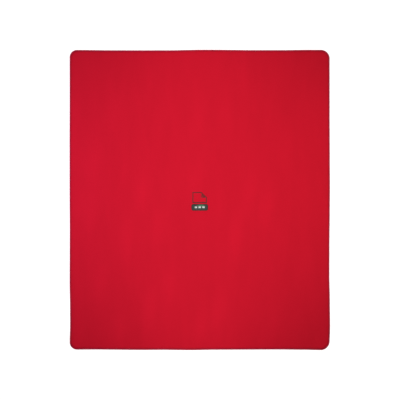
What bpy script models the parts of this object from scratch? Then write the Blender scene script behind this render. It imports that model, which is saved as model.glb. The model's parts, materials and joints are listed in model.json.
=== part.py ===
"""Fire blanket lying flat: two felt covers with a woven glass barrier between them, overlocked
round the edge, with a stitched emblem in the middle of its upper face.

+X runs across the blanket, +Y towards its head and +Z up. The origin is under the middle of the
underside. The two side quarters fold up and over the middle, as when the blanket is put away.
"""
import math

import bmesh
import bpy
from mathutils import Vector

# The blanket
blanket_width = 1.300
blanket_length = 1.500
corner_radius = 0.040
cover_thickness = 0.0015
barrier_thickness = 0.0006
barrier_setback = 0.0015

# Overlocked edge: looper threads round the edge, and the needle thread along their inner side
band_width = 0.0052
band_thickness = 0.0005
band_sink = 0.0001
needle_thread_diameter = 0.0006

# Fold lines
edges_apart_when_folded = 0.010
room_over_cover = 0.0015

# Emblem: a woven label below a stitched outline of a sheet with its corner turned down
label_width = 0.082
label_height = 0.032
label_radius = 0.010
label_thickness = 0.0004
label_border_width = 0.0022
label_thread_height = 0.0003
bar_width = 0.012
bar_height = 0.0085
bar_spacing = 0.019
bar_radius = 0.0015
bar_count = 3
figure_width = 0.072
figure_length = 0.054
figure_corner = 0.027
figure_stroke = 0.0042
figure_to_label = 0.006
emblem_drop = 0.007

# Clearances
ply_gap = 0.0003
thread_gap = 0.0003
panel_gap = 0.0003

# Smoothness
corner_steps = 10

# Worked out from the values above
rebate_depth = band_thickness + band_sink + thread_gap
needle_inner = band_width + 2 * thread_gap + needle_thread_diameter
cloth_inset = band_thickness + thread_gap

back_top = cover_thickness
barrier_bottom = back_top + ply_gap
barrier_top = barrier_bottom + barrier_thickness
front_bottom = barrier_top + ply_gap
front_top = front_bottom + cover_thickness

fold_x = (blanket_width + edges_apart_when_folded) / 4
fold_z = front_top + room_over_cover

emblem_height = figure_length + figure_to_label + label_height
label_y = -emblem_drop - emblem_height / 2 + label_height / 2
figure_y = -emblem_drop + emblem_height / 2 - figure_length / 2
label_bottom = front_top + thread_gap
label_top = label_bottom + label_thickness
trim_bottom = label_top + thread_gap
trim_top = trim_bottom + label_thread_height


def clear_scene():
    for obj in list(bpy.data.objects):
        bpy.data.objects.remove(obj, do_unlink=True)


def make_material(name, colour, roughness):
    material = bpy.data.materials.new(name)
    material.use_nodes = True
    shader = material.node_tree.nodes["Principled BSDF"]
    shader.inputs["Base Color"].default_value = (*colour, 1.0)
    shader.inputs["Roughness"].default_value = roughness
    shader.inputs["Metallic"].default_value = 0.0
    return material


def rounded_rectangle(width, length, radius, inset=0.0):
    """The outline of a round-cornered rectangle, anticlockwise from above, moved in by inset."""
    bend = max(radius - inset, panel_gap)
    centre_x = width / 2 - inset - bend
    centre_y = length / 2 - inset - bend
    points = []
    for quarter, (side_x, side_y) in enumerate(((1, 1), (-1, 1), (-1, -1), (1, -1))):
        for step in range(corner_steps + 1):
            angle = math.pi / 2 * (quarter + step / corner_steps)
            x = side_x * centre_x + bend * math.cos(angle)
            y = side_y * centre_y + bend * math.sin(angle)
            points.append((x, y))
    return points


def sharp_outline(corners, inset):
    """A closed outline of straight sides, anticlockwise, with each side moved in by inset."""
    points = []
    for index, corner in enumerate(corners):
        here = Vector(corner)
        arriving = (here - Vector(corners[index - 1])).normalized()
        leaving = (Vector(corners[(index + 1) % len(corners)]) - here).normalized()
        inward = Vector((-arriving.y - leaving.y, arriving.x + leaving.x)).normalized()
        reach = inset / inward.dot(Vector((-arriving.y, arriving.x)))
        points.append(tuple(here + inward * reach))
    return points


def add_loop(bm, points, z):
    return [bm.verts.new((x, y, z)) for x, y in points]


def join_loops(bm, lower, upper):
    count = len(lower)
    for index in range(count):
        following = (index + 1) % count
        bm.faces.new((lower[index], lower[following], upper[following], upper[index]))


def stacked_plate(levels):
    """A closed plate through outlines listed from its underside up, as (points, z) pairs."""
    bm = bmesh.new()
    loops = [add_loop(bm, points, z) for points, z in levels]
    bm.faces.new(reversed(loops[0]))
    for lower, upper in zip(loops, loops[1:]):
        join_loops(bm, lower, upper)
    bm.faces.new(loops[-1])
    return bm


def closed_band(section):
    """A ring whose section is a closed run of (points, z) pairs, outer side first and upwards."""
    bm = bmesh.new()
    loops = [add_loop(bm, points, z) for points, z in section]
    for index, loop in enumerate(loops):
        join_loops(bm, loop, loops[(index + 1) % len(loops)])
    return bm


def keep_side(bm, point, outward):
    """Cut a closed mesh through a plane, drop what lies outward of it, and close the cut."""
    geometry = bm.verts[:] + bm.edges[:] + bm.faces[:]
    bmesh.ops.bisect_plane(
        bm, geom=geometry, dist=1e-7, plane_co=point, plane_no=outward, clear_outer=True
    )
    open_edges = [edge for edge in bm.edges if edge.is_boundary]
    bmesh.ops.holes_fill(bm, edges=open_edges, sides=0)


def cut_panel(whole, panel):
    """The part of a whole ply or band that belongs to one panel of the blanket."""
    bm = whole.copy()
    edge_x = fold_x + panel_gap / 2
    inner_x = fold_x - panel_gap / 2
    if panel == "left":
        keep_side(bm, (-edge_x, 0, 0), (1, 0, 0))
    if panel == "right":
        keep_side(bm, (edge_x, 0, 0), (-1, 0, 0))
    if panel in ("middle", "head", "foot"):
        keep_side(bm, (-inner_x, 0, 0), (-1, 0, 0))
        keep_side(bm, (inner_x, 0, 0), (1, 0, 0))
    if panel == "head":
        keep_side(bm, (0, 0, 0), (0, -1, 0))
    if panel == "foot":
        keep_side(bm, (0, 0, 0), (0, 1, 0))
    return bm


def add_object(name, bm, material, fold=None):
    """Make one piece. A piece on a folding quarter hangs on the empty on that fold's axis."""
    bmesh.ops.recalc_face_normals(bm, faces=bm.faces[:])
    mesh = bpy.data.meshes.new(name)
    bm.to_mesh(mesh)
    bm.free()
    mesh.materials.append(material)
    obj = bpy.data.objects.new(name, mesh)
    bpy.context.collection.objects.link(obj)
    if fold:
        obj.parent = fold
        obj.location = -fold.location
    return obj


def add_fold(name, x):
    fold = bpy.data.objects.new(name, None)
    fold.empty_display_type = "SINGLE_ARROW"
    fold.location = (x, 0, fold_z)
    bpy.context.collection.objects.link(fold)
    return fold


def cloth_outline(inset):
    return rounded_rectangle(blanket_width, blanket_length, corner_radius, inset)


def back_cover():
    """Felt with its rim pressed thinner, so that the edge threads don't stand out below it."""
    return stacked_plate([
        (cloth_outline(needle_inner), 0.0),
        (cloth_outline(needle_inner), rebate_depth),
        (cloth_outline(cloth_inset), rebate_depth),
        (cloth_outline(cloth_inset), back_top),
    ])


def fire_barrier():
    """Glass cloth, cut a little smaller than the covers so that they hide its edge."""
    outline = cloth_outline(cloth_inset + barrier_setback)
    return stacked_plate([(outline, barrier_bottom), (outline, barrier_top)])


def front_cover():
    return stacked_plate([
        (cloth_outline(cloth_inset), front_bottom),
        (cloth_outline(cloth_inset), front_top - rebate_depth),
        (cloth_outline(needle_inner), front_top - rebate_depth),
        (cloth_outline(needle_inner), front_top),
    ])


def edge_overlock():
    """Looper threads as one channel that is folded round the rim, with softened outer corners."""
    low = band_sink
    high = front_top - band_sink
    wall = band_thickness
    return closed_band([
        (cloth_outline(0.0), low + wall),
        (cloth_outline(0.0), high - wall),
        (cloth_outline(wall), high),
        (cloth_outline(band_width), high),
        (cloth_outline(band_width), high - wall),
        (cloth_outline(wall), high - wall),
        (cloth_outline(wall), low + wall),
        (cloth_outline(band_width), low + wall),
        (cloth_outline(band_width), low),
        (cloth_outline(wall), low),
    ])


def needle_thread():
    """A round thread that lies beside the looper threads, in the pressed rim."""
    radius = needle_thread_diameter / 2
    centre_inset = band_width + thread_gap + radius
    centre_z = front_top - rebate_depth + thread_gap + radius
    sides = 6
    section = []
    for side in range(sides):
        angle = 2 * math.pi * side / sides
        inset = centre_inset - radius * math.cos(angle)
        section.append((cloth_outline(inset), centre_z + radius * math.sin(angle)))
    return closed_band(section)


def shifted(points, x, y):
    return [(px + x, py + y) for px, py in points]


def label_outline(inset):
    return shifted(rounded_rectangle(label_width, label_height, label_radius, inset), 0, label_y)


def label_cloth():
    return stacked_plate([(label_outline(0.0), label_bottom), (label_outline(0.0), label_top)])


def label_border():
    return closed_band([
        (label_outline(0.0), trim_bottom),
        (label_outline(0.0), trim_top),
        (label_outline(label_border_width), trim_top),
        (label_outline(label_border_width), trim_bottom),
    ])


def label_bar(x):
    outline = shifted(rounded_rectangle(bar_width, bar_height, bar_radius), x, label_y)
    return stacked_plate([(outline, trim_bottom), (outline, trim_top)])


def stitched_outline(corners):
    """A line of stitches round a shape, standing on the front cover."""
    outer = sharp_outline(corners, 0.0)
    inner = sharp_outline(corners, figure_stroke)
    low = label_bottom
    high = label_bottom + label_thread_height
    return closed_band([(outer, low), (outer, high), (inner, high), (inner, low)])


def figure_sheet():
    """A rectangle without its upper right corner."""
    half = figure_width / 2
    low = figure_y - figure_length / 2
    high = figure_y + figure_length / 2
    cut = half - figure_corner
    return stitched_outline([
        (-half, low), (half, low), (half, high - figure_corner), (cut, high), (-half, high),
    ])


def figure_turned_corner():
    """The corner itself, turned down inside the sheet."""
    clear = figure_stroke * math.sqrt(2) + thread_gap * 3
    right = figure_width / 2 - clear
    left = figure_width / 2 - figure_corner - thread_gap
    high = figure_y + figure_length / 2 - clear
    low = figure_y + figure_length / 2 - figure_corner - thread_gap
    return stitched_outline([(left, low), (right, low), (left, high)])


def build_cloth(folds, plies, threads):
    for name, (whole, material) in plies.items():
        for panel in ("left", "middle", "right"):
            add_object(f"{name}_{panel}", cut_panel(whole, panel), material, folds.get(panel))
        whole.free()
    for name, (whole, material) in threads.items():
        for panel in ("left", "head", "foot", "right"):
            add_object(f"{name}_{panel}", cut_panel(whole, panel), material, folds.get(panel))
        whole.free()


def build_emblem(cloth, border, bars, figure):
    add_object("label_cloth", label_cloth(), cloth)
    add_object("label_border", label_border(), border)
    for index in range(bar_count):
        x = (index - (bar_count - 1) / 2) * bar_spacing
        add_object(f"label_bar_{index + 1}", label_bar(x), bars)
    add_object("figure_sheet", figure_sheet(), figure)
    add_object("figure_turned_corner", figure_turned_corner(), figure)


def main():
    clear_scene()
    folds = {"left": add_fold("left_fold", -fold_x), "right": add_fold("right_fold", fold_x)}
    red_felt = make_material("red_felt", (0.62, 0.008, 0.026), 0.9)
    glass_cloth = make_material("glass_cloth", (0.72, 0.70, 0.62), 0.7)
    edge_thread = make_material("edge_thread", (0.33, 0.008, 0.030), 0.65)
    needle = make_material("needle_thread", (0.26, 0.006, 0.024), 0.6)
    plies = {
        "back_cover": (back_cover(), red_felt),
        "fire_barrier": (fire_barrier(), glass_cloth),
        "front_cover": (front_cover(), red_felt),
    }
    threads = {
        "edge_overlock": (edge_overlock(), edge_thread),
        "needle_thread": (needle_thread(), needle),
    }
    build_cloth(folds, plies, threads)
    build_emblem(
        make_material("label_cloth", (0.035, 0.060, 0.045), 0.8),
        make_material("label_border", (0.050, 0.020, 0.018), 0.6),
        make_material("label_bars", (0.70, 0.72, 0.68), 0.6),
        make_material("figure_thread", (0.19, 0.035, 0.030), 0.6),
    )


main()
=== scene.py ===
import json
import math

import bpy
import numpy as np
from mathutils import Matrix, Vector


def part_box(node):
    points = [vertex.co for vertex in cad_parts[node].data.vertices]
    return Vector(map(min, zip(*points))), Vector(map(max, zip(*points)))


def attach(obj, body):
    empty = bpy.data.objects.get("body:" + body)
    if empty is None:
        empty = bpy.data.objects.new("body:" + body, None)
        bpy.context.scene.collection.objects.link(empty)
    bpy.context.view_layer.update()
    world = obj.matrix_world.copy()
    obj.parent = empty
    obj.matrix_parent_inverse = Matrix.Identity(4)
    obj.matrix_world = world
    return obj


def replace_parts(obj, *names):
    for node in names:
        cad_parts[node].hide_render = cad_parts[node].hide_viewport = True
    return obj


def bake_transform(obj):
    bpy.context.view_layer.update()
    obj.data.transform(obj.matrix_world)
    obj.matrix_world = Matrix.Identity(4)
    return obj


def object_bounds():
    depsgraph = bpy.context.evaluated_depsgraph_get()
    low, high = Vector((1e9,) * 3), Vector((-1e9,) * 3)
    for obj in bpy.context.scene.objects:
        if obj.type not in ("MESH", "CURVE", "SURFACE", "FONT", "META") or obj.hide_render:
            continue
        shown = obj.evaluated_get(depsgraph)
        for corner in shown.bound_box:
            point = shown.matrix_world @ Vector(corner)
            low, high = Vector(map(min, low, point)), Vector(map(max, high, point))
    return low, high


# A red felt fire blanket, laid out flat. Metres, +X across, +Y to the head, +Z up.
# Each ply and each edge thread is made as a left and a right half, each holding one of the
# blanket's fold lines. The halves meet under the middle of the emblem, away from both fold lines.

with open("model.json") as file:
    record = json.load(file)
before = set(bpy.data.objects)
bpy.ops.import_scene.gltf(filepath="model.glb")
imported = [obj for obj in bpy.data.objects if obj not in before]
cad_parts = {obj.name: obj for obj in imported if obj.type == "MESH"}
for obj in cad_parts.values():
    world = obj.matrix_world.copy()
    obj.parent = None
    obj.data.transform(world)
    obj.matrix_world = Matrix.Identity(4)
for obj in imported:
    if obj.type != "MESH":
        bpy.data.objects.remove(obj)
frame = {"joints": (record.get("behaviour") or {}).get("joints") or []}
cadLow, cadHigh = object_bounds()
halfWidth, halfLength = cadHigh.x, cadHigh.y
foldX = abs(frame["joints"][0]["pos_m"][0])
emblemY = (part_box("label_cloth")[0].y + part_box("figure_sheet")[1].y) / 2
halves = {"Left": -1, "Right": 1}
flapNode = {"Left": "left", "Right": "right"}


def nodeLow(node):
    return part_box(node)[0].z


def nodeTop(node):
    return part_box(node)[1].z


# How the cloth lies. Each list of the outline's wander is (place along the edge, shift out).
lie = {
    "corner": {"Left": 0.0365, "Right": 0.0435},
    "wanderReach": 0.060,
    "wanderLeft": (
        (-0.75, 0), (-0.70, 0), (-0.63, -0.0018), (-0.53, -0.0012), (-0.42, 0.0010),
        (-0.17, 0.0003), (0.05, 0.0015), (0.28, 0.0012), (0.60, 0.0006),
    ),
    "wanderRight": (
        (-0.75, -0.0008), (-0.63, 0.0026), (-0.50, 0.0012), (-0.38, -0.0012), (-0.25, -0.0008),
        (-0.05, 0.0008), (0.06, 0.0016), (0.20, 0.0012), (0.50, 0.0003),
    ),
    "wanderHead": (
        (-0.60, 0), (-0.42, -0.0013), (-0.17, -0.0013), (0.03, 0.0014), (0.30, -0.0005),
        (0.42, -0.0005), (0.54, 0.0008),
    ),
    "wanderFoot": (
        (-0.54, -0.0013), (-0.29, 0.0008), (-0.18, 0.0003), (-0.05, 0.0016), (0.10, -0.0002),
        (0.40, -0.0012), (0.52, 0), (0.60, 0.0015),
    ),
    "rippleWide": 0.024,
    "rippleLong": 0.075,
    "rippleLean": 0.12,
    "ripples": (
        (-0.290, 0.030, 1.0), (-0.205, -0.125, 0.9), (-0.365, -0.195, 1.2), (-0.010, 0.115, 0.6),
        (0.256, 0.045, 0.9), (0.330, -0.060, 1.1), (0.180, -0.195, 0.9), (-0.540, -0.060, 0.8),
        (-0.530, 0.190, 0.7), (-0.495, -0.425, 0.9), (-0.255, -0.545, 1.2), (-0.155, -0.430, 1.0),
        (0.096, -0.555, 1.0), (-0.005, -0.660, 0.8), (-0.415, -0.660, 0.7), (-0.425, 0.450, 0.4),
        (0.120, 0.420, 0.3), (0.440, 0.300, 0.4), (0.500, -0.330, 0.4), (0.380, -0.600, 0.4),
        (0.230, 0.640, 0.4), (-0.010, 0.400, 0.5),
    ),
    "rippleHigh": 0.0016,
    "mostLift": 0.0016,
    "endLift": 0.0009,
    "endLiftReach": 0.075,
    "sideLift": 0.0016,
    "sideLiftReach": 0.10,
    "endWave": (24, 2.1, 11, 0.5),
    "sideWave": (9.3, 1.5, 4.1, -0.4),
    # how much wider and longer the painted highlight on a ripple crest is than the ripple under it
    "paintedHighlightWide": 1.5,
    "paintedHighlightLong": 1.3,
    "calmRadius": 0.070,
    "calmFrom": 0.8,
}


def eased(share):
    share = np.clip(share, 0, 1)
    return share * share * (3 - 2 * share)


def easedRun(knots, places):
    at = np.array([knot[0] for knot in knots])
    shift = np.array([knot[1] for knot in knots], float)
    slot = np.clip(np.searchsorted(at, places) - 1, 0, len(at) - 2)
    share = eased((places - at[slot]) / (at[slot + 1] - at[slot]))
    return shift[slot] + (shift[slot + 1] - shift[slot]) * share


def rippled(x, y, wider=1.0, longer=1.0):
    # 1 on top of a full ripple, and 0 on flat cloth
    ripple = np.zeros_like(x)
    for atX, atY, tall in lie["ripples"]:
        across = (x - atX - lie["rippleLean"] * (y - atY)) / (lie["rippleWide"] * wider)
        along = (y - atY) / (lie["rippleLong"] * longer)
        ripple += tall * np.exp(-across ** 2 - along ** 2)
    return ripple


def waved(place, side, wave):
    # a slow wave along one edge, different on the opposite edge
    quick, apart, slow, shift = wave
    return 1 + np.sin(quick * place + apart * side) * np.cos(slow * place + shift)


def lifted(x, y):
    # how far the cloth stands off the floor: soft ripples along the blanket, and a wavy rim
    endWave = waved(x, np.sign(y), lie["endWave"])
    sideWave = waved(y, np.sign(x), lie["sideWave"])
    fromEnd = (halfLength - np.abs(y)) / lie["endLiftReach"]
    fromSide = (halfWidth - np.abs(x)) / lie["sideLiftReach"]
    rise = lie["rippleHigh"] * rippled(x, y) + lie["endLift"] * endWave * np.exp(-fromEnd ** 2)
    rise = lie["mostLift"] * np.tanh(rise / lie["mostLift"])
    rise += lie["sideLift"] * sideWave * np.exp(-fromSide ** 2)
    return rise * eased(np.hypot(x, y - emblemY) / lie["calmRadius"] - lie["calmFrom"])


def paintedRippleLightAndRimShade(x, y, edge):
    # painted light and shade for the felt colour: 0 on flat cloth to 1 on the crest of a ripple, a
    # painted highlight, and below 0 beside the edge threads, a painted shade that is strongest at the
    # corners
    paintedLightAndShade = np.tanh(rippled(x, y, lie["paintedHighlightWide"], lie["paintedHighlightLong"]))
    # painted shade along the rim, deeper into each corner
    fromCorner = np.hypot(halfWidth - np.abs(x), halfLength - np.abs(y)) / cloth["cornerReach"]
    paintedShade = cloth["rimPaintedShade"] + cloth["cornerPaintedShade"] * np.exp(-fromCorner ** 2)
    return paintedLightAndShade - paintedShade * (1 - eased((edge - cloth["rimWide"]) / cloth["paintedShadeWide"]))


def laid(points):
    # moves points of the flat blanket to where the cloth lies
    points = np.array(points, float)
    x, y = points[:, 0].copy(), points[:, 1].copy()
    sides = np.where(x < 0, -easedRun(lie["wanderLeft"], y), easedRun(lie["wanderRight"], y))
    ends = np.where(y < 0, -easedRun(lie["wanderFoot"], x), easedRun(lie["wanderHead"], x))
    points[:, 0] += sides * np.exp(-((halfWidth - np.abs(x)) / lie["wanderReach"]) ** 2)
    points[:, 1] += ends * np.exp(-((halfLength - np.abs(y)) / lie["wanderReach"]) ** 2)
    points[:, 2] += lifted(x, y)
    return points


def deselectAll():
    for item in bpy.context.selected_objects:
        item.select_set(False)


def pieceFrom(name, points, faces, smoothTo):
    mesh = bpy.data.meshes.new(name)
    mesh.from_pydata(points.tolist(), [], faces)
    piece = bpy.data.objects.new(name, mesh)
    bpy.context.scene.collection.objects.link(piece)
    mesh.shade_smooth()
    mesh.set_sharp_from_angle(angle=math.radians(smoothTo))
    return piece


def inHalf(piece, half, *nodes):
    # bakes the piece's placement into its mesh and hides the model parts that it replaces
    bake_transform(piece)
    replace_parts(piece, *nodes)
    return piece


# Materials
def newMaterial(name):
    material = bpy.data.materials.new(name)
    material.use_nodes = True
    tree = material.node_tree
    return material, tree, tree.nodes["Principled BSDF"]


def addNode(tree, kind, **values):
    node = tree.nodes.new(kind)
    for key, value in values.items():
        if hasattr(node, key):
            setattr(node, key, value)
        else:
            node.inputs[key.replace("_", " ")].default_value = value
    return node


def tintRamp(tree, source, dark, light, low=0.3, high=0.7):
    ramp = tree.nodes.new("ShaderNodeValToRGB")
    ramp.color_ramp.elements[0].position = low
    ramp.color_ramp.elements[0].color = (*dark, 1)
    ramp.color_ramp.elements[1].position = high
    ramp.color_ramp.elements[1].color = (*light, 1)
    tree.links.new(source, ramp.inputs["Fac"])
    return ramp.outputs["Color"]


def weighed(tree, source, weight, plus):
    # source * weight + plus, where plus is a number or another output
    total = addNode(tree, "ShaderNodeMath", operation="MULTIPLY_ADD")
    tree.links.new(source, total.inputs[0])
    total.inputs[1].default_value = weight
    if isinstance(plus, float):
        total.inputs[2].default_value = plus
    else:
        tree.links.new(plus, total.inputs[2])
    return total.outputs[0]


felt = {
    "dark": (0.50, 0.0033, 0.0144),
    "light": (0.78, 0.0073, 0.0292),
    "streakScale": 16.0,
    "streakStretch": 0.22,
    "fibreScale": 1500.0,
    "fibreStretch": 0.16,
    "fibreLean": 0.7,
    "napScale": 420.0,
    "fibreShare": 1.25,
    "streakShare": 0.24,
    "paintedLightShare": 0.17,
    "fibreDepth": 0.0005,
    "fibreBump": 0.7,
    "napDepth": 0.0005,
    "napBump": 0.6,
    "roughness": 0.92,
    "specular": 0.12,
    "sheen": 0.12,
    "sheenRoughness": 0.5,
    "sheenTint": (1.0, 0.28, 0.32, 1),
}


def stretchedNoise(tree, place, scale, stretch, lean):
    turned = addNode(tree, "ShaderNodeMapping")
    turned.inputs["Rotation"].default_value = (0, 0, lean)
    turned.inputs["Scale"].default_value = (1, stretch, 1)
    noise = addNode(tree, "ShaderNodeTexNoise", Scale=scale, Detail=3.0, Distortion=0.4)
    tree.links.new(place, turned.inputs["Vector"])
    tree.links.new(turned.outputs["Vector"], noise.inputs["Vector"])
    return noise.outputs["Fac"]


def feltMaterial():
    # tangled fibres that lean two ways, soft brushed streaks along the cloth, a painted highlight on
    # ripple crests and painted shade along the rim and in the corners
    material, tree, shader = newMaterial("redFelt")
    link = tree.links.new
    place = addNode(tree, "ShaderNodeUVMap", uv_map="flatCloth").outputs["UV"]
    paintedLightAndShade = addNode(tree, "ShaderNodeAttribute", attribute_name="paintedLightAndShade").outputs["Fac"]
    streak = stretchedNoise(tree, place, felt["streakScale"], felt["streakStretch"], 0)
    fibre = addNode(tree, "ShaderNodeMath", operation="MAXIMUM")
    for turn, lean in enumerate((felt["fibreLean"], -felt["fibreLean"])):
        strands = stretchedNoise(tree, place, felt["fibreScale"], felt["fibreStretch"], lean)
        link(strands, fibre.inputs[turn])
    nap = addNode(tree, "ShaderNodeTexNoise", Scale=felt["napScale"], Detail=4.0, Distortion=0.6)
    link(place, nap.inputs["Vector"])
    # the two noises average 0.55 and 0.5, so plain cloth comes out halfway up the ramp
    middle = 0.5 - 0.55 * felt["fibreShare"] - 0.5 * felt["streakShare"]
    # the attribute lifts the red on ripple crests, a painted highlight, and lowers it along the rim
    # and in the corners, a painted shade
    shade = weighed(tree, paintedLightAndShade, felt["paintedLightShare"], middle)
    shade = weighed(tree, streak, felt["streakShare"], shade)
    shade = weighed(tree, fibre.outputs[0], felt["fibreShare"], shade)
    link(tintRamp(tree, shade, felt["dark"], felt["light"], 0, 1), shader.inputs["Base Color"])
    coarse = addNode(tree, "ShaderNodeBump", Strength=felt["napBump"], Distance=felt["napDepth"])
    fine = addNode(tree, "ShaderNodeBump", Strength=felt["fibreBump"], Distance=felt["fibreDepth"])
    link(nap.outputs["Fac"], coarse.inputs["Height"])
    link(fibre.outputs[0], fine.inputs["Height"])
    link(coarse.outputs["Normal"], fine.inputs["Normal"])
    link(fine.outputs["Normal"], shader.inputs["Normal"])
    shader.inputs["Roughness"].default_value = felt["roughness"]
    shader.inputs["Specular IOR Level"].default_value = felt["specular"]
    shader.inputs["Sheen Weight"].default_value = felt["sheen"]
    shader.inputs["Sheen Roughness"].default_value = felt["sheenRoughness"]
    shader.inputs["Sheen Tint"].default_value = felt["sheenTint"]
    return material


weave = {
    "pitch": 0.0022,
    "dark": (0.55, 0.52, 0.44),
    "light": (0.80, 0.78, 0.70),
    "depth": 0.0003,
    "roughness": 0.6,
}


def wovenMaterial(name, pitch, dark, light, depth, roughness):
    # two sets of threads that cross, each seen as a row of rounded bars
    material, tree, shader = newMaterial(name)
    link = tree.links.new
    place = addNode(tree, "ShaderNodeTexCoord")
    rows = []
    for direction in ("X", "Y"):
        row = addNode(tree, "ShaderNodeTexWave", bands_direction=direction)
        row.inputs["Scale"].default_value = 2 * math.pi / (20 * pitch)
        row.inputs["Distortion"].default_value = 0.3
        row.inputs["Detail"].default_value = 1.0
        link(place.outputs["Object"], row.inputs["Vector"])
        rows.append(row)
    cross = addNode(tree, "ShaderNodeMath", operation="MULTIPLY")
    link(rows[0].outputs["Fac"], cross.inputs[0])
    link(rows[1].outputs["Fac"], cross.inputs[1])
    link(tintRamp(tree, cross.outputs[0], dark, light, 0.0, 0.8), shader.inputs["Base Color"])
    bump = addNode(tree, "ShaderNodeBump", Strength=0.8, Distance=depth)
    link(cross.outputs[0], bump.inputs["Height"])
    link(bump.outputs["Normal"], shader.inputs["Normal"])
    shader.inputs["Roughness"].default_value = roughness
    shader.inputs["Specular IOR Level"].default_value = 0.3
    return material


thread = {"fibreScale": 2400.0, "bump": 0.5, "depth": 0.00008, "roughness": 0.62, "specular": 0.3}


def threadMaterial(name, dark, light, sheen):
    # spun thread: fine fibres and a soft shine
    material, tree, shader = newMaterial(name)
    link = tree.links.new
    place = addNode(tree, "ShaderNodeTexCoord")
    fibre = addNode(
        tree, "ShaderNodeTexNoise", Scale=thread["fibreScale"], Detail=2.0, Distortion=0.8)
    link(place.outputs["Object"], fibre.inputs["Vector"])
    link(tintRamp(tree, fibre.outputs["Fac"], dark, light), shader.inputs["Base Color"])
    bump = addNode(tree, "ShaderNodeBump", Strength=thread["bump"], Distance=thread["depth"])
    link(fibre.outputs["Fac"], bump.inputs["Height"])
    link(bump.outputs["Normal"], shader.inputs["Normal"])
    shader.inputs["Roughness"].default_value = thread["roughness"]
    shader.inputs["Specular IOR Level"].default_value = thread["specular"]
    shader.inputs["Sheen Weight"].default_value = sheen
    return material


# Plies
cloth = {
    "inset": 0.0008,
    "barrierInset": 0.0023,
    "step": 0.010,
    "barrierStep": 0.020,
    "rimSteps": [(0, 0.0013), (0.009, 0.0028), (0.020, 0.005)],
    "foldStep": 0.0011,
    "foldRoom": (0.004, 0.003),
    "emblemStep": 0.0028,
    "emblemReach": (0.055, 0.060),
    "rimWide": 0.0064,
    "rimPress": 0.0009,
    # painted shade beside the edge threads: its depth along the rim, its extra depth at a corner, how
    # far that reaches, and how fast it fades inward
    "rimPaintedShade": 1.5,
    "cornerPaintedShade": 2.0,
    "cornerReach": 0.05,
    "paintedShadeWide": 0.008,
    "roundOver": 0.010,
    "noseWide": 0.0010,
    "noseFall": 0.0003,
    "bend": 0.014,
}


def stepped(stops):
    # places from one stop to the next, at about the step that each stop gives
    places = [stops[0][0]]
    for (start, step), (end, _) in zip(stops, stops[1:]):
        count = max(1, round((end - start) / step))
        places += [start + (end - start) * turn / count for turn in range(1, count + 1)]
    return np.array(places)


def clothGrid(inset, radius, step):
    # flat rows and columns of one half, fine at the rim, the fold line and the emblem
    rim = cloth["rimSteps"] + [(radius, step)]
    wide, long = halfWidth - inset, halfLength - inset
    fold = wide - foldX
    emblemWide, emblemLong = cloth["emblemReach"]
    before, after = cloth["foldRoom"]
    fromSide = stepped(rim + [
        (fold - cloth["bend"] - before, cloth["foldStep"]), (fold + after, step),
        (wide - emblemWide, cloth["emblemStep"]), (wide, step),
    ])
    fromEnd = stepped(rim + [(long - emblemLong, cloth["emblemStep"]), (long, step)])
    ends = np.concatenate([fromEnd - long, (long - fromEnd)[-2::-1]])
    return wide - fromSide, ends


def roundedCorners(x, y, inset, radius):
    # the square grid with its corner drawn round, and each point's distance from the edge
    wide, long = halfWidth - inset, halfLength - inset
    overX = np.clip((x - wide + radius) / radius, 0, None)
    overY = np.clip((np.abs(y) - long + radius) / radius, 0, None)
    inCorner = (overX > 0) & (overY > 0)
    ring = np.maximum(overX, overY)
    share = np.minimum(overX, overY) / np.maximum(ring, 1e-9)
    turn = np.where(overX >= overY, share, 2 - share) * math.pi / 4
    roundX = np.where(inCorner, wide - radius + radius * ring * np.cos(turn), x)
    roundY = np.sign(y) * np.where(inCorner, long - radius + radius * ring * np.sin(turn), np.abs(y))
    edge = np.where(inCorner, radius * (1 - ring), np.minimum(wide - x, long - np.abs(y)))
    return roundX, roundY, edge + inset


def drawnIn(edge):
    # how far the edge threads press an outer face in
    rim = 1 - eased((edge - cloth["rimWide"]) / cloth["roundOver"])
    nose = 1 - eased((edge - cloth["inset"]) / cloth["noseWide"])
    return cloth["rimPress"] * rim + cloth["noseFall"] * nose


def clothShell(name, half, inset, step, lowAt, topAt):
    radius = lie["corner"][half] - inset
    columns, rows = clothGrid(inset, radius, step)
    x, y = np.meshgrid(columns, rows)
    x, y, edge = roundedCorners(x.ravel(), y.ravel(), inset, radius)
    x = x * halves[half]
    flat = np.column_stack([x, y])
    low = laid(np.column_stack([x, y, lowAt(edge)]))
    top = laid(np.column_stack([x, y, topAt(edge)]))
    across, count = len(columns), len(x)
    index = np.arange(count).reshape(len(rows), across)
    corners = [index[:-1, :-1], index[:-1, 1:], index[1:, 1:], index[1:, :-1]]
    quads = np.stack(corners, axis=-1).reshape(-1, 4)
    ring = np.concatenate([index[0, :-1], index[:-1, -1], index[-1, :0:-1], index[:0:-1, 0]])
    after = np.roll(ring, -1)
    wall = np.stack([ring, after, after + count, ring + count], axis=-1)
    if half == "Left":
        faces = np.concatenate([quads[:, ::-1], quads + count, wall])
    else:
        faces = np.concatenate([quads, quads[:, ::-1] + count, wall[:, ::-1]])
    piece = pieceFrom(name, np.concatenate([low, top]), faces.tolist(), 50)
    flat = np.concatenate([flat, flat])
    shown = piece.data.uv_layers.new(name="flatCloth")
    shown.data.foreach_set("uv", flat[faces.ravel()].ravel())
    # painted highlight on ripple crests and painted shade along the rim and corners, for the felt's
    # colour
    paintedLightAndShade = piece.data.attributes.new("paintedLightAndShade", "FLOAT", "POINT")
    paintedLightAndShade.data.foreach_set("value", np.tile(paintedRippleLightAndRimShade(x, y, edge), 2))
    return piece


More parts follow.
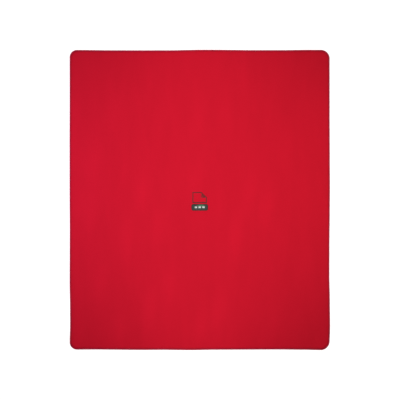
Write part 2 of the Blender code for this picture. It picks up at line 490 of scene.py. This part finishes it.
def buildPlies():
    backTop, frontLow = nodeTop("back_cover_middle"), nodeLow("front_cover_middle")
    frontTop = nodeTop("front_cover_middle")
    barrierLow, barrierTop = nodeLow("fire_barrier_middle"), nodeTop("fire_barrier_middle")
    red = feltMaterial()
    glass = wovenMaterial("glassCloth", **weave)
    plies = {}
    for half in halves:
        plies["backCloth", half] = clothShell(
            "backCloth" + half, half, cloth["inset"], cloth["step"], drawnIn,
            lambda edge: np.full_like(edge, backTop))
        plies["barrierCloth", half] = clothShell(
            "barrierCloth" + half, half, cloth["barrierInset"], cloth["barrierStep"],
            lambda edge: np.full_like(edge, barrierLow), lambda edge: np.full_like(edge, barrierTop))
        plies["frontCloth", half] = clothShell(
            "frontCloth" + half, half, cloth["inset"], cloth["step"],
            lambda edge: np.full_like(edge, frontLow), lambda edge: frontTop - drawnIn(edge))
    nodes = {"backCloth": "back_cover", "barrierCloth": "fire_barrier", "frontCloth": "front_cover"}
    for (ply, half), piece in plies.items():
        piece.data.materials.append(glass if ply == "barrierCloth" else red)
        inHalf(piece, half, f"{nodes[ply]}_{flapNode[half]}", f"{nodes[ply]}_middle")
    return plies


# Threads
def roundedPath(width, length, radii, centreY=0.0, parts=48):
    # a rounded rectangle's outline from the middle of its head, anticlockwise, with its length;
    # its left and right corners have their own radii
    points, inward = [(0.0, length / 2)], [(0.0, -1.0)]
    for corner, (sideX, sideY) in enumerate(((-1, 1), (-1, -1), (1, -1), (1, 1))):
        radius = radii[int(sideX > 0)]
        middle = (sideX * (width / 2 - radius), sideY * (length / 2 - radius))
        for part in range(parts + 1):
            angle = math.pi / 2 * (1 + corner + part / parts)
            ray = (math.cos(angle), math.sin(angle))
            points.append((middle[0] + radius * ray[0], middle[1] + radius * ray[1]))
            inward.append((-ray[0], -ray[1]))
    points.append((0.0, length / 2))
    inward.append((0.0, -1.0))
    points = np.array(points) + (0, centreY)
    gone = np.concatenate([[0], np.cumsum(np.linalg.norm(np.diff(points, axis=0), axis=1))])
    return {"gone": gone, "points": points, "inward": np.array(inward), "length": gone[-1]}


def cornerPath(corners, radius, parts=6):
    # a closed outline, anticlockwise, whose corners are small arcs
    points, inward = [], []
    count = len(corners)
    for turn, corner in enumerate(corners):
        here = np.array(corner, float)
        arriving = here - np.array(corners[turn - 1], float)
        leaving = np.array(corners[(turn + 1) % count], float) - here
        startAngle = math.atan2(arriving[1], arriving[0]) - math.pi / 2
        bend = (math.atan2(leaving[1], leaving[0]) - math.pi / 2 - startAngle) % (2 * math.pi)
        arriving = arriving / np.linalg.norm(arriving)
        reach = radius * math.tan(bend / 2)
        side = np.array([-arriving[1], arriving[0]])
        centre = here - arriving * reach + side * radius
        for part in range(parts + 1):
            angle = startAngle + bend * part / parts
            ray = np.array([math.cos(angle), math.sin(angle)])
            points.append(centre + ray * radius)
            inward.append(-ray)
    points.append(points[0])
    inward.append(inward[0])
    points = np.array(points)
    gone = np.concatenate([[0], np.cumsum(np.linalg.norm(np.diff(points, axis=0), axis=1))])
    return {"gone": gone, "points": points, "inward": np.array(inward), "length": gone[-1]}


def stitchShape(name, controls, thick):
    # one stitch drawn as a curve: (along, inward, up) for each of its five control points
    deselectAll()
    bpy.ops.curve.primitive_nurbs_path_add()
    stitch = bpy.context.object
    stitch.name = name
    line = stitch.data.splines[0]
    for point, place in zip(line.points, controls):
        point.co = (*place, 1)
    line.order_u = 3
    line.resolution_u = 2
    stitch.data.bevel_depth = thick / 2
    stitch.data.bevel_resolution = 0
    stitch.data.use_fill_caps = True
    bpy.ops.object.convert(target="MESH")
    stitch = bpy.context.object
    points = np.array([stitch.matrix_world @ vertex.co for vertex in stitch.data.vertices])
    faces = [list(face.vertices) for face in stitch.data.polygons]
    bpy.data.objects.remove(stitch, do_unlink=True)
    return points, faces


def sewnAlong(name, shape, path, starts, material, uneven=0.0):
    # a copy of the stitch at each place along the path, each a little off by hand
    points, faces = shape
    count = len(points)
    off = np.random.default_rng(len(starts)).normal(0, 1, (3, len(starts), 1)) * uneven
    along = (np.array(starts)[:, None] + points[:, 0] + off[0]).ravel() % path["length"]
    inwards = (points[:, 1] + off[1]).ravel()
    up = (points[:, 2] + off[2] * 0.3).ravel()
    spots = [np.interp(along, path["gone"], path["points"][:, axis]) for axis in (0, 1)]
    turned = [np.interp(along, path["gone"], path["inward"][:, axis]) for axis in (0, 1)]
    flat = np.column_stack([spots[0] + turned[0] * inwards, spots[1] + turned[1] * inwards, up])
    copies = [
        [corner + count * copy for corner in face] for copy in range(len(starts)) for face in faces
    ]
    piece = pieceFrom(name, laid(flat), copies, 75)
    piece.data.materials.append(material)
    return piece


overlock = {
    "pitch": 0.0022,
    "thick": 0.00095,
    "reach": 0.0053,
    "turnAt": 0.0010,
    "turnPast": -0.0002,
    "uneven": 0.00010,
    "needleAt": 0.0059,
    "needleThick": 0.0010,
    "sheen": 0.2,
    "threadDark": (0.540, 0.008, 0.058),
    "threadLight": (0.750, 0.014, 0.088),
    # the needle thread is nearly black: a dark thread, with the painted shade of the groove it lies in
    "needleAndGrooveShadeDark": (0.075, 0.003, 0.017),
    "needleAndGrooveShadeLight": (0.135, 0.005, 0.028),
}


def buildEdge():
    path = roundedPath(2 * halfWidth, 2 * halfLength, [lie["corner"][half] for half in halves])
    pitch = path["length"] / (2 * round(path["length"] / 2 / overlock["pitch"]))
    perHalf = round(path["length"] / 2 / pitch)
    rimTop = nodeTop("front_cover_middle") - cloth["rimPress"]
    rimLow = cloth["rimPress"]
    middle = (rimTop + rimLow) / 2
    lying = overlock["thick"] * 0.28
    reach, turnAt, turnPast = overlock["reach"], overlock["turnAt"], overlock["turnPast"]
    sheen = overlock["sheen"]
    looperThread = threadMaterial("edgeThread", overlock["threadDark"], overlock["threadLight"], sheen)
    # the needle thread's colour holds painted shade of its groove as well as the dark thread
    needle = threadMaterial("needleThread", overlock["needleAndGrooveShadeDark"], overlock["needleAndGrooveShadeLight"], sheen)

    def looper(face, over):
        # from the needle line out to the rim, round it and back, a stitch further on
        return [
            (0, reach, face + over * 0.2), (pitch * 0.30, turnAt, face + over * 1.6),
            (pitch * 0.5, turnPast, middle + over * 0.9),
            (pitch * 0.70, turnAt, face + over * 1.6), (pitch, reach, face + over * 0.2),
        ]

    upper = stitchShape("upperLoop", looper(rimTop, lying), overlock["thick"])
    lower = stitchShape("lowerLoop", looper(rimLow, -lying), overlock["thick"])
    at, rise = overlock["needleAt"], overlock["needleThick"] * 0.5
    sunk = rimTop - rise
    needleRun = [
        (pitch * 0.02, at, sunk), (pitch * 0.16, at, rimTop + rise), (pitch * 0.5, at, rimTop + rise),
        (pitch * 0.84, at, rimTop + rise), (pitch * 0.98, at, sunk),
    ]
    running = stitchShape("needleStitch", needleRun, overlock["needleThick"])
    edge = {}
    for turn, half in enumerate(halves):
        starts = pitch * (np.arange(perHalf) + perHalf * turn)
        strips = (flapNode[half], "head", "foot")
        # the lower loops turn between the upper ones, which fills the rim
        for name, shape, ahead in (("upperLooper", upper, 0), ("lowerLooper", lower, pitch / 2)):
            piece = sewnAlong(
                name + half, shape, path, starts + ahead, looperThread, overlock["uneven"])
            inHalf(piece, half, *[f"edge_overlock_{strip}" for strip in strips])
            edge[name, half] = piece
        piece = sewnAlong("needleStitches" + half, running, path, starts, needle)
        inHalf(piece, half, *[f"needle_thread_{strip}" for strip in strips])
        edge["needleStitches", half] = piece
    print("edge sewn:", 2 * perHalf, "stitches")
    return edge


# Emblem
label = {
    "corner": 0.010,
    "cornerSegments": 8,
    "hem": 0.0026,
    "hemFall": 0.00015,
    "sink": 0.00035,
    "clothDark": (0.024, 0.034, 0.026),
    "clothLight": (0.066, 0.086, 0.066),
    "clothDepth": 0.0001,
    "clothRoughness": 0.75,
    "weavePitch": 0.0009,
    "greenDark": (0.040, 0.120, 0.060),
    "greenLight": (0.100, 0.270, 0.140),
    "greenAt": (0.006, 0.007),
    "greenWide": 0.019,
    "greenLong": 0.007,
    "greenSoft": 0.08,
    "border": 0.0030,
    "borderOut": 0.0004,
    "threadPitch": 0.00052,
    "threadThick": 0.00062,
    "uneven": 0.00006,
    "borderDark": (0.026, 0.011, 0.011),
    "borderLight": (0.066, 0.028, 0.024),
    "barDark": (0.62, 0.64, 0.60),
    "barLight": (0.84, 0.86, 0.82),
}


def labelMaterial(centreY):
    # dark woven cloth with a paler green worked into its upper middle
    material = wovenMaterial(
        "labelWeave", label["weavePitch"], label["clothDark"], label["clothLight"],
        label["clothDepth"], label["clothRoughness"])
    tree = material.node_tree
    shader = tree.nodes["Principled BSDF"]
    weft = shader.inputs["Base Color"].links[0].from_socket
    cross = weft.node.inputs["Fac"].links[0].from_socket
    green = tintRamp(tree, cross, label["greenDark"], label["greenLight"], 0.0, 0.8)
    place = addNode(tree, "ShaderNodeTexCoord")
    moved = addNode(tree, "ShaderNodeMapping", vector_type="TEXTURE")
    moved.inputs["Location"].default_value = (label["greenAt"][0], centreY + label["greenAt"][1], 0)
    moved.inputs["Scale"].default_value = (label["greenWide"], label["greenLong"], 1)
    ball = addNode(tree, "ShaderNodeTexGradient", gradient_type="SPHERICAL")
    rim = addNode(tree, "ShaderNodeMapRange")
    rim.inputs["From Max"].default_value = label["greenSoft"]
    pale = addNode(tree, "ShaderNodeMix", data_type="RGBA")
    tree.links.new(place.outputs["Object"], moved.inputs["Vector"])
    tree.links.new(moved.outputs["Vector"], ball.inputs["Vector"])
    tree.links.new(ball.outputs["Fac"], rim.inputs["Value"])
    tree.links.new(rim.outputs["Result"], pale.inputs["Factor"])
    tree.links.new(weft, pale.inputs[6])
    tree.links.new(green, pale.inputs[7])
    tree.links.new(pale.outputs[2], shader.inputs["Base Color"])
    return material


def satinStitch(name, width, low, rise):
    # a thread across a border or bar: down into the cloth at both ends, and arched between
    half = width / 2
    return stitchShape(name, [
        (0, -half, low - rise), (0, -half, low + rise * 0.7), (0, 0, low + rise * 1.3),
        (0, half, low + rise * 0.7), (0, half, low - rise),
    ], label["threadThick"])


def labelPlate(box, low, top):
    # the woven label, with round corners, a softened face and a hem that is drawn down
    width, length = box[1].x - box[0].x, box[1].y - box[0].y
    centreY = (box[0].y + box[1].y) / 2
    deselectAll()
    bpy.ops.mesh.primitive_cube_add(size=1, location=(0, centreY, (low + top) / 2))
    plate = bpy.context.object
    plate.name = "labelCloth"
    plate.scale = (width, length, top - low)
    bpy.ops.object.transform_apply(location=True, rotation=False, scale=True)
    bpy.ops.object.mode_set(mode="EDIT")
    bpy.ops.mesh.select_all(action="DESELECT")
    bpy.ops.mesh.select_mode(type="EDGE")
    bpy.ops.object.mode_set(mode="OBJECT")
    for side in plate.data.edges:
        ends = [plate.data.vertices[end].co for end in side.vertices]
        side.select = abs(ends[0].z - ends[1].z) > (top - low) / 2
    bpy.ops.object.mode_set(mode="EDIT")
    bpy.ops.mesh.bevel(offset=label["corner"], segments=label["cornerSegments"], affect="EDGES")
    bpy.ops.mesh.select_all(action="DESELECT")
    bpy.ops.mesh.select_mode(type="FACE")
    bpy.ops.object.mode_set(mode="OBJECT")
    for face in plate.data.polygons:
        face.select = face.normal.z > 0.9
    bpy.ops.object.mode_set(mode="EDIT")
    bpy.ops.transform.translate(value=(0, 0, -label["hemFall"]))
    bpy.ops.mesh.inset(thickness=label["hem"])
    bpy.ops.mesh.inset(thickness=label["hem"] * 0.25)
    bpy.ops.transform.translate(value=(0, 0, label["hemFall"]))
    bpy.ops.object.mode_set(mode="OBJECT")
    plate.data.shade_smooth()
    plate.data.set_sharp_from_angle(angle=math.radians(40))
    return plate


def buildLabel():
    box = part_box("label_cloth")
    width, length = box[1].x - box[0].x, box[1].y - box[0].y
    centreY = (box[0].y + box[1].y) / 2
    low = nodeTop("front_cover_middle") - label["sink"]
    top = low + nodeTop("label_cloth") - nodeLow("label_cloth") + label["sink"]
    plate = labelPlate(box, low, top)
    plate.data.materials.append(labelMaterial(centreY))
    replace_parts(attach(plate, "middle_panel"), "label_cloth")
    borderThread = threadMaterial("borderThread", label["borderDark"], label["borderLight"], 0.15)
    barThread = threadMaterial("barThread", label["barDark"], label["barLight"], 0.1)
    made = [plate]
    path = roundedPath(width, length, (label["corner"],) * 2, centreY, 12)
    rise = label["threadThick"] * 0.5
    stitch = satinStitch("borderStitch", label["border"], top - label["hemFall"], rise)
    stitch[0][:, 1] += label["border"] / 2 - label["borderOut"]
    starts = np.arange(0, path["length"], label["threadPitch"])
    border = sewnAlong("labelBorder", stitch, path, starts, borderThread, label["uneven"])
    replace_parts(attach(border, "middle_panel"), "label_border")
    made.append(border)
    for number in (1, 2, 3):
        node = f"label_bar_{number}"
        barLow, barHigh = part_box(node)
        barWidth, barHeight = barHigh.x - barLow.x, barHigh.y - barLow.y
        barY = (barLow.y + barHigh.y) / 2
        barPath = {
            "gone": np.array([0, barWidth]), "points": np.array([[barLow.x, barY], [barHigh.x, barY]]),
            "inward": np.array([[0, 1.0], [0, 1.0]]), "length": barWidth + 1,
        }
        stitch = satinStitch("barStitch", barHeight, top, rise)
        starts = np.arange(rise, barWidth, label["threadPitch"])
        bar = sewnAlong(f"labelBar{number}", stitch, barPath, starts, barThread, label["uneven"])
        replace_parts(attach(bar, "middle_panel"), node)
        made.append(bar)
    return made


figure = {
    "cut": 0.027,
    "stroke": 0.0042,
    "turn": 0.0012,
    "threadDark": (0.085, 0.014, 0.014),
    "threadLight": (0.170, 0.034, 0.030),
}


def buildFigure():
    low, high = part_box("figure_sheet")
    half = (high.x - low.x) / 2
    figureThread = threadMaterial("figureThread", figure["threadDark"], figure["threadLight"], 0.15)
    face = nodeTop("front_cover_middle")
    rise = label["threadThick"] * 0.5
    stitch = satinStitch("figureStitch", figure["stroke"], face, rise)
    stitch[0][:, 1] += figure["stroke"] / 2
    sheet = [
        (-half, low.y), (half, low.y), (half, high.y - figure["cut"]),
        (half - figure["cut"], high.y), (-half, high.y),
    ]
    cornerLow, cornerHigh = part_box("figure_turned_corner")
    corner = [(cornerLow.x, cornerLow.y), (cornerHigh.x, cornerLow.y), (cornerLow.x, cornerHigh.y)]
    made = []
    shapes = (("figureSheet", sheet, "figure_sheet"), ("figureCorner", corner, "figure_turned_corner"))
    for name, corners, node in shapes:
        path = cornerPath(corners, figure["turn"])
        starts = np.arange(0, path["length"], label["threadPitch"])
        piece = sewnAlong(name, stitch, path, starts, figureThread, label["uneven"])
        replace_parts(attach(piece, "middle_panel"), node)
        made.append(piece)
    return made


plies = buildPlies()
print("plies made:", len(plies))
edge = buildEdge()
emblem = buildLabel() + buildFigure()
print("emblem sewn:", len(emblem), "pieces")


# Studio: a pale floor that curves up into a low wall, and five soft boxes
studio = {
    "floorRadius": 30.0,
    "wallHeight": 7.0,
    "wallSteps": 8,
    "floorDrop": 0.0004,
    "floorColour": (0.30, 0.30, 0.30, 1),
    "floorGlow": 0.95,
    "skyColour": (0.9, 0.95, 1.0, 1),
    "sky": 0.02,
    "softBoxes": (
        ("overhead", (-0.013, 0.087, 1.80), (-0.013, 0.087, 0), 0.60, 25.5, (1, 1, 1)),
        ("leftSide", (-1.413, 0.150, 0.50), (-0.10, 0.150, 0), 0.50, 3.56, (0.97, 0.95, 1.90)),
        ("rightSide", (1.413, 0.120, 0.50), (0.10, 0.120, 0), 0.50, 3.02, (1, 1, 0.65)),
        ("headEnd", (-0.013, 0.748, 0.50), (-0.013, 0.10, 0), 0.50, 0.58, (1, 1, 1)),
        ("footEnd", (-0.013, -0.748, 0.50), (-0.013, 0.10, 0), 0.50, 0.77, (1, 1, 1)),
    ),
    "lens": 85,
    "sensor": 36,
    "across": 2.001,
    "over": (0.0015, -0.0005),
}


def aimed(item, place, target):
    away = np.array(place, float) - np.array(target, float)
    item.location = place
    item.rotation_euler = (
        math.atan2(math.hypot(away[0], away[1]), away[2]), 0, math.atan2(away[0], -away[1]),
    )


def buildFloor():
    deselectAll()
    radius = studio["floorRadius"]
    bpy.ops.mesh.primitive_circle_add(
        vertices=96, radius=radius, fill_type="NGON", location=(0, 0, cadLow.z - studio["floorDrop"]))
    floor = bpy.context.object
    floor.name = "floor"
    bpy.ops.object.mode_set(mode="EDIT")
    bpy.ops.mesh.select_all(action="DESELECT")
    bpy.ops.mesh.select_mode(type="EDGE")
    bpy.ops.mesh.select_all(action="SELECT")
    bpy.ops.mesh.region_to_loop()
    steps = studio["wallSteps"]
    for step in range(1, steps + 1):
        angle = math.pi / 2 * step / steps
        before = math.pi / 2 * (step - 1) / steps
        outwards = studio["wallHeight"] * (math.sin(angle) - math.sin(before))
        upwards = studio["wallHeight"] * (math.cos(before) - math.cos(angle))
        grown = (radius + outwards) / radius
        radius += outwards
        bpy.ops.mesh.extrude_edges_move(TRANSFORM_OT_translate={"value": (0, 0, upwards)})
        bpy.ops.transform.resize(value=(grown, grown, 1))
    bpy.ops.object.mode_set(mode="OBJECT")
    bpy.ops.object.transform_apply(location=True, rotation=False, scale=False)
    floor.data.shade_smooth()
    material, tree, shader = newMaterial("paleFloor")
    shader.inputs["Base Color"].default_value = studio["floorColour"]
    shader.inputs["Roughness"].default_value = 0.9
    shader.inputs["Specular IOR Level"].default_value = 0.1
    shader.inputs["Emission Color"].default_value = (1, 1, 1, 1)
    shader.inputs["Emission Strength"].default_value = studio["floorGlow"]
    floor.data.materials.append(material)


def buildLight():
    for name, place, target, size, watts, colour in studio["softBoxes"]:
        light = bpy.data.lights.new(name, "AREA")
        light.size = size
        light.energy = watts
        light.color = colour
        lamp = bpy.data.objects.new(name, light)
        lamp.visible_camera = False
        bpy.context.scene.collection.objects.link(lamp)
        aimed(lamp, place, target)
    world = bpy.data.worlds.new("studioAir")
    world.use_nodes = True
    background = world.node_tree.nodes["Background"]
    background.inputs["Color"].default_value = studio["skyColour"]
    background.inputs["Strength"].default_value = studio["sky"]
    bpy.context.scene.world = world
    bpy.context.scene.view_settings.view_transform = "Standard"


def buildCamera():
    view = bpy.data.cameras.new("camera")
    view.lens = studio["lens"]
    view.sensor_width = studio["sensor"]
    camera = bpy.data.objects.new("camera", view)
    height = studio["across"] * studio["lens"] / studio["sensor"] + cadHigh.z
    camera.location = (*studio["over"], height)
    bpy.context.scene.collection.objects.link(camera)
    bpy.context.scene.camera = camera


buildFloor()
buildLight()
buildCamera()
print("studio set")
